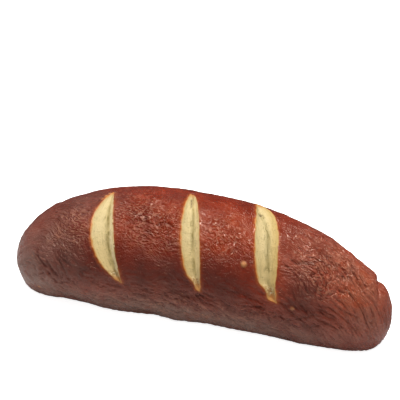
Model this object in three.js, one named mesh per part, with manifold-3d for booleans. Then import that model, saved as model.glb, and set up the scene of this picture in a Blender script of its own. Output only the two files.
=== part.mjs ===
// Pretzel roll: one long bread roll, baked in one piece on a flat tray.
// The body is a bowed, flat-bottomed loaf with rounded ends, fuller at one end.
// Three slanting score cuts have opened across its crown into shallow grooves.
// Millimetres, +X along the roll, +Z up, origin under the middle of its box on the tray.
import * as THREE from "three";
import { mergeVertices } from "three/addons/utils/BufferGeometryUtils.js";
import Module from "manifold-3d";

// Driving dimensions of the loaf.
const LENGTH = 175;
const WIDTH = 60;
const HEIGHT = 46;
const GIRTH_HEIGHT = 18; // the widest line of the middle section, above the tray
const UNDERCUT_DEPTH = 40; // how deep the lower half would reach if the tray didn't stop it
const BOW = 15; // how far the two ends curve forward of the middle
const FULLNESS = 0.2; // share by which the -X end is wider, and the +X end narrower
const END_DROOP = 0.19; // share by which the widest line comes down at the ends

// Powers of the outline from above and from the side, and the power that rounds both at the tips.
const PLAN_POWER = 2.5;
const SIDE_POWER = 3.1;
const TIP_POWER = 2.46;

// How finely the loaf is faceted.
const RINGS = 64;
const RING_CROWDING = 2; // above 1, the rings stand closer together at the tips
const ARC_STEPS = 44;
const MOST_UNDERCUT = THREE.MathUtils.degToRad(80); // keeps the tip rings open underneath

// A score cut is a shallow trough that runs over the crown from the back to the front flank.
const CUT_DEPTH = 2.4;
const CUT_FLOOR_SHARE = 0.5; // the trough floor's width, as a share of its opening
const CUT_STATIONS = 24;
const CUT_TIP_SHARE = 0.05; // the trough's size at its tips, as a share of its middle
const CUTTER_CLEARANCE = 2; // how far the cutter stands proud of the crust

// Each cut's crossing of the crown line, how far it reaches behind and before that line,
// its angle to the straight way across, how far its front end hooks towards +X, its opening.
const CUTS = [
  { crownX: -42.3, behind: 8, before: 30, slant: 20, hook: 0, opening: 9.5 },
  { crownX: -5.4, behind: 11, before: 28, slant: 19, hook: 1.5, opening: 8.5 },
  { crownX: 25.4, behind: 20, before: 25, slant: 17, hook: 3.5, opening: 11 },
];

const halfLength = LENGTH / 2;

// The loaf's section at x: its centre line, half width, girth, and its rise and drop from there.
function sectionAt(x) {
  const t = THREE.MathUtils.clamp(x / halfLength, -1, 1);
  const plan = (1 - Math.abs(t) ** PLAN_POWER) ** (1 / TIP_POWER);
  const side = (1 - Math.abs(t) ** SIDE_POWER) ** (1 / TIP_POWER);
  return {
    centreY: -BOW * t * t,
    halfWidth: (WIDTH / 2) * plan * (1 - FULLNESS * t),
    girthZ: GIRTH_HEIGHT * (1 - END_DROOP * t * t),
    rise: (HEIGHT - GIRTH_HEIGHT) * side,
    drop: UNDERCUT_DEPTH * side,
  };
}

// The ring of crust at x, from the tray behind, over the crown, to the tray in front.
function ringAt(x) {
  const s = sectionAt(x);
  const undercut = Math.min(MOST_UNDERCUT, Math.asin(Math.min(1, s.girthZ / s.drop)));
  const ring = [];
  for (let step = 0; step <= ARC_STEPS; step++) {
    const angle = THREE.MathUtils.lerp(-undercut, Math.PI + undercut, step / ARC_STEPS);
    const up = Math.sin(angle);
    const z = s.girthZ + (up > 0 ? s.rise : s.drop) * up;
    const y = s.centreY + s.halfWidth * Math.cos(angle);
    ring.push(new THREE.Vector3(x, y, Math.max(0, z)));
  }
  return ring;
}

// The height of the crown side of the crust at a place seen from above.
function crustHeight(x, y) {
  const s = sectionAt(x);
  const across = THREE.MathUtils.clamp((y - s.centreY) / s.halfWidth, -1, 1);
  return s.girthZ + s.rise * Math.sqrt(1 - across * across);
}

// The way that the crust faces at a place seen from above, from its slope along and across.
function crustNormal(x, y) {
  const step = 0.25;
  const along = crustHeight(x + step, y) - crustHeight(x - step, y);
  const across = crustHeight(x, y + step) - crustHeight(x, y - step);
  return new THREE.Vector3(-along, -across, 2 * step).normalize();
}

// Joins a row of rings of equal length into a closed skin, with a point at each end.
function closedSkin(rings, first, last) {
  const sides = rings[0].length;
  const points = [...rings.flat(), first, last];
  const firstIndex = rings.length * sides;
  const lastRing = firstIndex - sides;
  const faces = [];
  for (let side = 0; side < sides; side++) {
    const next = (side + 1) % sides;
    faces.push(firstIndex, next, side);
    for (let a = side, b = next; a < lastRing; a += sides, b += sides)
      faces.push(a, b, a + sides, b, b + sides, a + sides);
    faces.push(firstIndex + 1, lastRing + side, lastRing + next);
  }
  return new THREE.BufferGeometry().setFromPoints(points).setIndex(faces);
}

// The whole loaf, before it is scored.
function loafGeometry() {
  const rings = [];
  for (let ring = 1; ring < RINGS; ring++) {
    const share = (2 * ring) / RINGS - 1;
    const inward = 1 - (1 - Math.abs(share)) ** RING_CROWDING;
    rings.push(ringAt(Math.sign(share) * inward * halfLength));
  }
  const tip = (end) => {
    const s = sectionAt(end * halfLength);
    return new THREE.Vector3(end * halfLength, s.centreY, s.girthZ);
  };
  return closedSkin(rings, tip(-1), tip(1));
}

// The cutter that opens one score cut: widest and deepest halfway, following the crust.
function cutterGeometry({ crownX, behind, before, slant, hook, opening }) {
  const lean = Math.tan(THREE.MathUtils.degToRad(slant));
  const rings = [];
  for (let station = 0; station <= CUT_STATIONS; station++) {
    const share = station / CUT_STATIONS;
    const run = THREE.MathUtils.lerp(behind, -before, share);
    const x = crownX - run * lean + hook * share ** 3;
    const y = sectionAt(x).centreY + run;
    const swell = CUT_TIP_SHARE + (1 - CUT_TIP_SHARE) * Math.sin(Math.PI * share);
    const flare = ((1 - CUT_FLOOR_SHARE) * CUTTER_CLEARANCE) / CUT_DEPTH;
    const mouth = new THREE.Vector3((opening / 2) * (swell + flare), 0, 0);
    const floor = new THREE.Vector3((opening / 2) * swell * CUT_FLOOR_SHARE, 0, 0);
    const out = crustNormal(x, y);
    const crust = new THREE.Vector3(x, y, crustHeight(x, y));
    const proud = crust.clone().addScaledVector(out, CUTTER_CLEARANCE);
    const deep = crust.clone().addScaledVector(out, -CUT_DEPTH * swell);
    rings.push([
      proud.clone().sub(mouth),
      deep.clone().sub(floor),
      deep.clone().add(floor),
      proud.clone().add(mouth),
    ]);
  }
  const centre = (ring) =>
    ring.reduce((sum, corner) => sum.add(corner), new THREE.Vector3()).divideScalar(ring.length);
  return closedSkin(rings, centre(rings[0]), centre(rings[CUT_STATIONS]));
}

const wasm = await Module();
wasm.setup();

// A closed geometry as a solid.
function toSolid(geometry) {
  const merged = mergeVertices(geometry);
  return new wasm.Manifold(
    new wasm.Mesh({
      numProp: 3,
      vertProperties: merged.attributes.position.array,
      triVerts: new Uint32Array(merged.index.array),
    }),
  );
}

// A solid as a geometry.
function toGeometry(solid) {
  const { vertProperties, triVerts } = solid.getMesh();
  const geometry = new THREE.BufferGeometry();
  geometry.setAttribute("position", new THREE.BufferAttribute(vertProperties, 3));
  geometry.setIndex(new THREE.BufferAttribute(triVerts, 1));
  geometry.computeVertexNormals();
  return geometry;
}

const scoredLoaf = CUTS.reduce(
  (loaf, cut) => loaf.subtract(toSolid(cutterGeometry(cut))),
  toSolid(loafGeometry()),
);

const crust = new THREE.MeshStandardMaterial({
  color: 0x8a3f2c,
  roughness: 0.42,
  metalness: 0,
});

const roll = new THREE.Mesh(toGeometry(scoredLoaf), crust);
roll.name = "roll";

// The bow and the fuller end put the box off centre, so the roll is moved back over the origin.
roll.geometry.computeBoundingBox();
const boxCentre = roll.geometry.boundingBox.getCenter(new THREE.Vector3());
roll.position.set(-boxCentre.x, -boxCentre.y, 0);

const part = new THREE.Group();
part.add(roll);

export default part;
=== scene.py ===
"""A pretzel roll: one bowed, lye-dipped bread roll with three open score cuts, lying on a pale floor.

Lengths inside the roll's own classes are in millimetres, and become metres when a mesh is made.
A place on the roll is given by x, along it, and by its sweep: degrees round the roll from the crown
line, negative down the back and positive down the front, so that the underside is past 100 either way.
"""

import logging
import math
from dataclasses import dataclass, field
from enum import Enum

import bpy
import numpy as np
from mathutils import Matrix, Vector


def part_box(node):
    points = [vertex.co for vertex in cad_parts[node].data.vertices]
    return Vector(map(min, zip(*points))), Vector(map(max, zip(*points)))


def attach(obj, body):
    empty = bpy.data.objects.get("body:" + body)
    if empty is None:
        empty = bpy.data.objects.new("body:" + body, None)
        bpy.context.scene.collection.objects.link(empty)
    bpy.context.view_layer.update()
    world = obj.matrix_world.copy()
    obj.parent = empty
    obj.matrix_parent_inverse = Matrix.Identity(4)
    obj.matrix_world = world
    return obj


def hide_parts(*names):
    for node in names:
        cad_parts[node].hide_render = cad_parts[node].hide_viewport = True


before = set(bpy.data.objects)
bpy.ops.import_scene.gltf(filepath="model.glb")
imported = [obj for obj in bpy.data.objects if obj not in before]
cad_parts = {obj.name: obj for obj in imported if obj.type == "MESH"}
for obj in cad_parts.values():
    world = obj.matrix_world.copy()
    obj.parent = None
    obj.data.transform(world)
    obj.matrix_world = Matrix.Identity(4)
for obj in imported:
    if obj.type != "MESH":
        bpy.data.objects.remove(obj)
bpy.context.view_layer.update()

MM = 0.001
TINY = 1e-6
NAME = "pretzel_roll"
NODE = "roll"
BODY = "root"

log = logging.getLogger(NAME)
Array = np.ndarray
Pair = tuple[float, float]
Colour = tuple[float, float, float]
Socket = bpy.types.NodeSocket
Number = Socket | float
Shade = Socket | Colour
Settings = dict[str, object]
Inputs = dict[str | int, object]
BLACK: Colour = (0.0, 0.0, 0.0)
WHITE: Colour = (1.0, 1.0, 1.0)


def ease(value: Array, low: float, high: float) -> Array:
    """Goes smoothly from 0 at low to 1 at high.

    Args:
        value: What is compared with the two ends.
        low: Where the result leaves 0.
        high: Where the result reaches 1.

    Returns:
        The eased share, between 0 and 1.
    """
    share = np.clip((value - low) / (high - low), 0.0, 1.0)
    return share * share * (3.0 - 2.0 * share)


def vertex_normals(points: Array, quads: Array) -> Array:
    """Finds the unit normal of each vertex of a quad mesh.

    Args:
        points: One row of three coordinates a vertex.
        quads: One row of four vertex numbers a face.

    Returns:
        One unit vector a vertex.
    """
    a, b, c, d = (points[quads[:, corner]] for corner in range(4))
    facing = np.cross(c - a, d - b)
    normals = np.zeros_like(points)
    for corner in range(4):
        for axis in range(3):
            normals[:, axis] += np.bincount(quads[:, corner], facing[:, axis], len(points))
    return normals / np.linalg.norm(normals, axis=1, keepdims=True)


def distance_to_path(path: Array, places: Array, furthest: float) -> Array:
    """Measures the way from flat places to a path of straight runs.

    Args:
        path: One row of two coordinates a corner of the path.
        places: One row of two coordinates a place.
        furthest: The most that is given.

    Returns:
        One distance a place.
    """
    nearest = np.full(len(places), furthest)
    for start, end in zip(path, path[1:]):
        run = end - start
        away = places - start
        along = np.clip(away @ run / max(run @ run, TINY), 0.0, 1.0)
        gap = np.hypot(away[:, 0] - along * run[0], away[:, 1] - along * run[1])
        nearest = np.minimum(nearest, gap)
    return nearest


@dataclass
class GradientNoise:
    """Smooth seeded noise through space, about -1 to 1, with features about one unit across."""

    seed: int
    entries: int = 256
    cell_primes: tuple[int, int, int] = (73856093, 19349663, 83492791)
    scramble: int = 1274126177
    loudness: float = 1.7
    directions: Array = field(init=False, repr=False)

    def __post_init__(self) -> None:
        """Draws the table of lattice directions."""
        table = np.random.default_rng(self.seed).normal(size=(self.entries, 3))
        self.directions = table / np.linalg.norm(table, axis=1, keepdims=True)

    def at(self, points: Array) -> Array:
        """Reads the noise.

        Args:
            points: One row of three coordinates a reading.

        Returns:
            One value a reading.
        """
        cell = np.floor(points).astype(np.int64)
        local = points - cell
        blend = local**3 * (local * (local * 6.0 - 15.0) + 10.0)
        total = np.zeros(len(points))
        for corner in np.ndindex(2, 2, 2):
            key = (cell + corner) @ np.array(self.cell_primes)
            key = (key ^ (key >> 13)) * self.scramble
            direction = self.directions[(key ^ (key >> 16)) % self.entries]
            weight = np.where(corner, blend, 1.0 - blend).prod(axis=1)
            total += weight * ((local - corner) * direction).sum(axis=1)
        return self.loudness * total

    def across_plane(self, first: Array, second: Array) -> Array:
        """Reads the noise on a plane.

        Args:
            first: The first coordinate of each reading.
            second: The second.

        Returns:
            One value a reading, about -1 to 1.
        """
        return self.at(np.stack([first, second, np.full_like(first, self.seed + 0.5)], axis=-1))


def wandered(flat: Array, reach: float, grain: float, seeds: tuple[int, int]) -> Array:
    """Moves flat places about by smooth noise.

    Args:
        flat: One row of two coordinates a place.
        reach: About how far a place moves.
        grain: How wide the noise's features are.
        seeds: The seed of the noise for each coordinate.

    Returns:
        The moved places.
    """
    u, v = (flat / grain).T
    drift = [GradientNoise(seed).across_plane(u, v) for seed in seeds]
    return flat + reach * np.stack(drift, axis=-1)


@dataclass(frozen=True)
class LoafForm:
    """The smooth shape of the roll, before its cuts and wrinkles: the same form as the CAD solid."""

    length: float
    height: float
    width: float = 60.0
    girth_height: float = 18.0
    undercut_depth: float = 40.0
    bow: float = 15.0
    fullness: float = 0.2
    end_droop: float = 0.19
    plan_power: float = 2.5
    side_power: float = 3.1
    tip_power: float = 2.46
    edge_roundness: float = 2.6
    table_steps: int = 20001
    tip_crowding: float = 3.0

    def point(self, x: Array, sweep: Array) -> Array:
        """Finds points of the smooth crust.

        Args:
            x: Places along the roll.
            sweep: Degrees round the roll from the crown line.

        Returns:
            One row of three coordinates a place, before the roll is centred over the origin.
        """
        t = np.clip(x / (self.length / 2), -1.0, 1.0)
        plan = (1.0 - np.abs(t) ** self.plan_power) ** (1.0 / self.tip_power)
        side = (1.0 - np.abs(t) ** self.side_power) ** (1.0 / self.tip_power)
        angle = np.radians(sweep + 90.0)
        up = np.sin(angle)
        girth = self.girth_height * (1.0 - self.end_droop * t * t)
        reach = np.where(up > 0.0, self.height - self.girth_height, self.undercut_depth)
        y = -self.bow * t * t + self.width / 2 * plan * (1.0 - self.fullness * t) * np.cos(angle)
        z = girth + reach * side * up
        return np.stack([x + 0.0 * z, y, self._rest_on_tray(z)], axis=-1)

    def _rest_on_tray(self, z: Array) -> Array:
        """Stops heights at the tray, with a rounded edge where the crust meets it."""
        near = np.clip(self.edge_roundness - np.abs(z), 0.0, None)
        return np.maximum(z, 0.0) + near**2 / (4.0 * self.edge_roundness)

    def radius(self, x: Array) -> Array:
        """Gives the roll's typical radius.

        Args:
            x: Places along the roll.

        Returns:
            One radius a place.
        """
        crown = self.point(x, np.zeros_like(x))
        flank = self.point(x, np.full_like(x, 90.0))
        return np.linalg.norm((crown - flank)[:, 1:], axis=1) / math.sqrt(2.0)

    def distance_table(self) -> tuple[Array, Array]:
        """Measures along the crust from one tip to the other.

        Returns:
            Places along the roll, and the distance over the crust to each, from the middle.
        """
        share = np.linspace(-1.0, 1.0, self.table_steps)
        x = np.sign(share) * (1.0 - (1.0 - np.abs(share)) ** self.tip_crowding) * self.length / 2
        reach = self.radius(x)
        distance = np.concatenate([[0.0], np.cumsum(np.hypot(np.diff(x), np.diff(reach)))])
        return x, distance - distance[len(distance) // 2]

    def laid_flat(self, x: Array, sweep: Array) -> Array:
        """Lays the crust out flat.

        Args:
            x: Places along the roll.
            sweep: Degrees round the roll from the crown line.

        Returns:
            One row a place: the distance over the crust from the middle, and round it from the crown.
        """
        table_x, table_distance = self.distance_table()
        along = np.interp(x, table_x, table_distance)
        return np.stack([along, np.radians(sweep) * self.radius(x)], axis=-1)


@dataclass(frozen=True)
class CutSide:
    """One edge of a score cut, bulging away from the straight line between the cut's tips."""

    bulge: float
    fullest: float
    roundness: float
    seed: int
    shoulder: float = 0.0
    wobble: float = 0.26
    wobbles: float = 20.0
    steady_ends: float = 0.08
    shoulder_in: Pair = (0.86, 0.91)
    shoulder_out: Pair = (0.94, 1.0)

    def at(self, share: Array) -> Array:
        """Gives how far the edge stands out from the line between the tips.

        Args:
            share: Shares of the way from the back tip to the front one.

        Returns:
            The distance at each share, wobbling, and stepped in by the shoulder near the front tip.
        """
        inside = np.clip(share, 0.0, 1.0)
        rise = (inside / self.fullest) ** (self.roundness * self.fullest)
        fall = ((1.0 - inside) / (1.0 - self.fullest)) ** (self.roundness * (1.0 - self.fullest))
        tail = ease(inside, *self.shoulder_in) * (1.0 - ease(inside, *self.shoulder_out))
        ends = ease(np.minimum(inside, 1.0 - inside), 0.0, self.steady_ends)
        ragged = GradientNoise(self.seed).across_plane(inside * self.wobbles, 0.0 * inside)
        return np.maximum(self.bulge * rise * fall - self.shoulder * tail + self.wobble * ends * ragged, 0.0)


@dataclass(frozen=True)
class ScoreCut:
    """One score cut across the crown, opened by the rising dough."""

    back_tip: Pair
    front_tip: Pair
    left: CutSide
    right: CutSide
    valley: tuple[float, float, float]
    depth: float
    # Painted light: how much brighter the crumb's right flank is painted.
    right_painted_light: float
    valley_seed: int = 61
    valley_bends: float = 7.0
    valley_wander: float = 0.05

    def share(self, sweep: Array) -> Array:
        """Gives the share of the way from the back tip to the front one, not clipped."""
        return (sweep - self.back_tip[1]) / (self.front_tip[1] - self.back_tip[1])

    def chord(self, sweep: Array) -> Array:
        """Gives x on the straight line between the tips."""
        return self.back_tip[0] + self.share(sweep) * (self.front_tip[0] - self.back_tip[0])

    def opening(self, share: Array) -> Array:
        """Gives how wide the cut is open."""
        return self.left.at(share) + self.right.at(share)

    def valley_at(self, share: Array) -> Array:
        """Finds the valley, which wanders a little.

        Args:
            share: Shares of the way along the cut.

        Returns:
            The share of the way across at which the valley runs, for each.
        """
        back, middle, front = self.valley
        line = back + (middle - back) * ease(share, 0.0, 0.5) + (front - middle) * ease(share, 0.5, 1.0)
        bends = GradientNoise(self.valley_seed).across_plane(share * self.valley_bends, line)
        return line + self.valley_wander * bends


@dataclass(frozen=True)
class Patch:
    """A soft-edged patch of the crust with a value of its own."""

    x: float
    sweep: float
    reach_x: float
    reach_round: float
    value: float

    def weight(self, form: LoafForm, points: Array) -> Array:
        """Gives 1 at the patch's centre, falling away to 0.

        Args:
            form: The loaf that the patch lies on.
            points: Points of its smooth crust.

        Returns:
            One weight a point.
        """
        centre = form.point(np.array([self.x]), np.array([self.sweep]))[0]
        along = (points[:, 0] - centre[0]) / self.reach_x
        around = np.linalg.norm(points[:, 1:] - centre[1:], axis=1) / self.reach_round
        return np.exp(-(along**2) - around**2)


class Zone(Enum):
    """What a face of the roll shows, as the number of its material."""

    CRUST = 0
    CRUMB = 1


@dataclass
class RollSkin:
    """The roll's grid of faces: rings along it that follow the edges of the cuts, and a cap at each end."""

    form: LoafForm
    cuts: tuple[ScoreCut, ...]
    cap_rings: int = 33
    cap_at: float = 0.97
    tube_rings: int = 344
    cut_rings: int = 22
    underside_share: float = 0.11
    underside_from: float = 122.0
    tip_overrun: float = 10.0
    straightened: Pair = (5.0, 75.0)
    least_gap: float = 1.0
    gap_growth: float = 4.0
    growth_sweep: float = 60.0
    x: Array = field(init=False, repr=False)
    sweep: Array = field(init=False, repr=False)
    quads: Array = field(init=False, repr=False)
    tube_shape: tuple[int, int] = field(init=False)

    def __post_init__(self) -> None:
        """Lays out the whole grid."""
        columns = self._column_sweeps()
        tube_x = self._tube_rings(columns)
        tube_sweep = np.broadcast_to(columns, tube_x.shape)
        self.tube_shape = tube_x.shape
        numbers = np.arange(tube_x.size).reshape(tube_x.shape)
        xs, sweeps, quads = [tube_x.ravel()], [tube_sweep.ravel()], [self._tube_quads(numbers)]
        count = tube_x.size
        for end in (-1, 1):
            rim = numbers[0] if end < 0 else numbers[-1]
            cap_x, cap_sweep, cap_quads = self._cap(end, columns, rim, count)
            xs.append(cap_x)
            sweeps.append(cap_sweep)
            quads.append(cap_quads)
            count += len(cap_x)
        self.x = np.concatenate(xs)
        self.sweep = np.concatenate(sweeps)
        self.quads = np.concatenate(quads)

    def _column_sweeps(self) -> Array:
        """Spaces the columns round the roll, closer on the crust than underneath.

        Returns:
            The sweep of each column.
        """
        columns = 8 * self.cap_rings
        share = (np.arange(columns) + 0.5) / columns
        edge = self.underside_share / 2
        turns = [-180.0, -self.underside_from, self.underside_from, 180.0]
        return np.interp(share, [0.0, edge, 1.0 - edge, 1.0], turns)

    def _tube_rings(self, columns: Array) -> Array:
        """Places the rings between the caps, bent so that two of them run along each cut's edges.

        Args:
            columns: The sweep of each column.

        Returns:
            The x of each ring at each column.
        """
        table_x, table_distance = self.form.distance_table()
        cap_x = self.cap_at * self.form.length / 2
        ends = np.interp([-cap_x, cap_x], table_x, table_distance)
        knots = [np.full_like(columns, ends[0])]
        for cut in self.cuts:
            for x in self._guides(cut, columns):
                knots.append(np.interp(x, table_x, table_distance))
        knots.append(np.full_like(columns, ends[1]))
        spans = [knots[i + 1].mean() - knots[i].mean() for i in range(0, len(knots), 2)]
        plain = self.tube_rings - self.cut_rings * len(self.cuts)
        counts = [round(plain * span / sum(spans)) for span in spans]
        steps = [c for count in counts for c in (count, self.cut_rings)][:-1]
        rings = [knots[0][None]]
        for low, high, count in zip(knots, knots[1:], steps):
            share = np.arange(1, count + 1)[:, None] / count
            rings.append(low + (high - low) * share)
        return np.interp(np.concatenate(rings), table_distance, table_x)

    def _guides(self, cut: ScoreCut, columns: Array) -> tuple[Array, Array]:
        """Places the two rings that follow a cut's edges, and spread apart past its tips.

        Args:
            cut: The cut.
            columns: The sweep of each column.

        Returns:
            The x of the left ring and of the right one, at each column.
        """
        (back_x, back), (front_x, front) = cut.back_tip, cut.front_tip
        beyond = np.maximum(back - columns, columns - front)
        line = cut.chord(np.clip(columns, back - self.tip_overrun, front + self.tip_overrun))
        centre = line + ((back_x + front_x) / 2 - line) * ease(beyond, *self.straightened)
        least = self.least_gap + self.gap_growth * ease(beyond, 0.0, self.growth_sweep)
        share = cut.share(columns)
        return (
            centre - np.maximum(cut.left.at(share), least),
            centre + np.maximum(cut.right.at(share), least),
        )

    @staticmethod
    def _tube_quads(numbers: Array) -> Array:
        """Joins neighbouring rings, all the way round.

        Args:
            numbers: The vertex numbers, one row a ring.

        Returns:
            One row of four vertex numbers a face.
        """
        right = np.roll(numbers, -1, axis=1)
        faces = np.stack([numbers[:-1], right[:-1], right[1:], numbers[1:]], axis=-1)
        return faces.reshape(-1, 4)

    def _cap(self, end: int, columns: Array, rim: Array, first: int) -> tuple[Array, Array, Array]:
        """Closes one end with a square grid, so that no long thin faces meet at the tip.

        Args:
            end: -1 or 1.
            columns: The sweep of each column.
            rim: The vertex numbers of the tube's last ring.
            first: The number of the cap's first vertex.

        Returns:
            The x and the sweep of each new vertex, and the faces.
        """
        size = self.cap_rings
        steps = np.arange(-size, size + 1)
        a, b = np.meshgrid(steps, steps, indexing="ij")
        ring = np.maximum(np.abs(a), np.abs(b))
        place = np.select(
            [(a == ring) & (b > -ring), (b == ring), (a == -ring), (b == -ring)],
            [b + ring, 3 * ring - a, 5 * ring - b, 7 * ring + a],
            0,
        )
        share = place / np.maximum(8 * ring, 1)
        column = share * len(columns)
        wrapped = np.append(columns, columns[0] + 360.0)
        sweep = np.interp(column % len(columns), np.arange(len(columns) + 1), wrapped)
        table_x, table_distance = self.form.distance_table()
        edge = np.interp(end * self.cap_at * self.form.length / 2, table_x, table_distance)
        tip = table_distance[-1] if end > 0 else table_distance[0]
        x = np.interp(tip + (edge - tip) * ring / size, table_distance, table_x)
        inner = ring < size
        numbers = np.empty_like(ring)
        numbers[inner] = first + np.arange(inner.sum())
        numbers[~inner] = rim[place[~inner] % len(columns)]
        corners = [numbers[:-1, :-1], numbers[1:, :-1], numbers[1:, 1:], numbers[:-1, 1:]]
        quads = np.stack(corners, axis=-1).reshape(-1, 4)
        if end < 0:
            quads = quads[:, ::-1]
        return x[inner], sweep[inner], quads


@dataclass(frozen=True)
class Bubble:
    """A small round blister that swelled under the crust."""

    x: float
    sweep: float
    radius: float
    height: float
    tint: float


@dataclass(frozen=True)
class Swirl:
    """A place on the crust that the wrinkles turn round."""

    x: float
    sweep: float
    reach: float
    degrees: float


@dataclass(frozen=True)
class CrustFlow:
    """The way that the wrinkles run: the crust laid out flat, and turned to follow them."""

    form: LoafForm
    base_degrees: float = 24.0
    wander: float = 2.0
    wander_grain: float = 10.0
    wander_seeds: tuple[int, int] = (5, 6)
    swirls: tuple[Swirl, ...] = (
        Swirl(-64.0, 75.0, 24.0, 40.0),
        Swirl(-22.0, 18.0, 16.0, 16.0),
        Swirl(-15.0, 95.0, 30.0, -12.0),
        Swirl(36.0, 92.0, 26.0, -28.0),
        Swirl(52.0, 12.0, 11.0, -34.0),
        Swirl(49.0, 52.0, 11.0, 30.0),
        Swirl(-20.0, -60.0, 40.0, -30.0),
        Swirl(40.0, -60.0, 40.0, -24.0),
    )

    def place(self, x: Array, sweep: Array) -> Array:
        """Finds the coordinates of places in the flow.

        Args:
            x: Places along the roll.
            sweep: Degrees round the roll from the crown line.

        Returns:
            One row a place: how far along the flow, and how far across it.
        """
        flat = self.form.laid_flat(x, sweep)
        moved = wandered(flat, self.wander, self.wander_grain, self.wander_seeds)
        for swirl in self.swirls:
            centre = self.form.laid_flat(np.array([swirl.x]), np.array([swirl.sweep]))
            offset = moved - centre
            fade = np.exp(-(offset**2).sum(axis=1) / swirl.reach**2)
            moved = centre + self._turned(offset, -swirl.degrees * fade)
        return self._turned(moved, np.full(len(moved), -self.base_degrees))

    @staticmethod
    def _turned(offset: Array, degrees: Array) -> Array:
        """Turns flat offsets.

        Args:
            offset: One row of two coordinates an offset.
            degrees: The angle to turn each by.

        Returns:
            The turned offsets.
        """
        cos, sin = np.cos(np.radians(degrees)), np.sin(np.radians(degrees))
        u, v = offset.T
        return np.stack([u * cos - v * sin, u * sin + v * cos], axis=-1)


@dataclass(frozen=True)
class Wrinkling:
    """One scale of wrinkles: rounded folds parted by narrow creases, drawn out along the crust's flow."""

    seed: int
    grain: float
    stretch: float
    height: float
    sharpness: float
    fine_share: float = 0.45
    fine_ratio: float = 2.1

    def folds(self, flow: Array) -> Array:
        """Gives 0 in the creases and up to 1 on the folds.

        Args:
            flow: Coordinates along and across the flow, one row a point.

        Returns:
            One value a point.
        """
        along, across = flow[:, 0] / (self.grain * self.stretch), flow[:, 1] / self.grain
        noise = GradientNoise(self.seed).across_plane(along, across)
        finer = GradientNoise(self.seed + 1)
        noise += self.fine_share * finer.across_plane(self.fine_ratio * along, self.fine_ratio * across)
        size = np.abs(noise)
        return (1.0 + self.sharpness) * size / (size + self.sharpness)


@dataclass(frozen=True)
class Furrow:
    """A long narrow crease, drawn through a few places on the crust."""

    path: tuple[Pair, ...]
    depth: float
    width: float = 0.4
    bank: float = 0.5
    taper: float = 2.2
    bank_gap: float = 2.6
    reach: float = 10.0

    def pressed(self, form: LoafForm, flat: Array) -> Array:
        """Gives 1 along the crease, below 0 on the low banks beside it, and 0 far away.

        Args:
            form: The loaf that the crease lies on.
            flat: Places on the crust laid flat, one row each.

        Returns:
            One value a place.
        """
        x, sweep = np.array(self.path).T
        path = form.laid_flat(x, sweep)
        gap = distance_to_path(path, flat, self.reach * self.width) / self.width
        ends = np.minimum(*(np.linalg.norm(flat - end, axis=1) for end in (path[0], path[-1])))
        across = np.exp(-(gap**2)) - self.bank * np.exp(-((gap - self.bank_gap) ** 2))
        return across * ease(ends, 0.0, self.taper)


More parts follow.
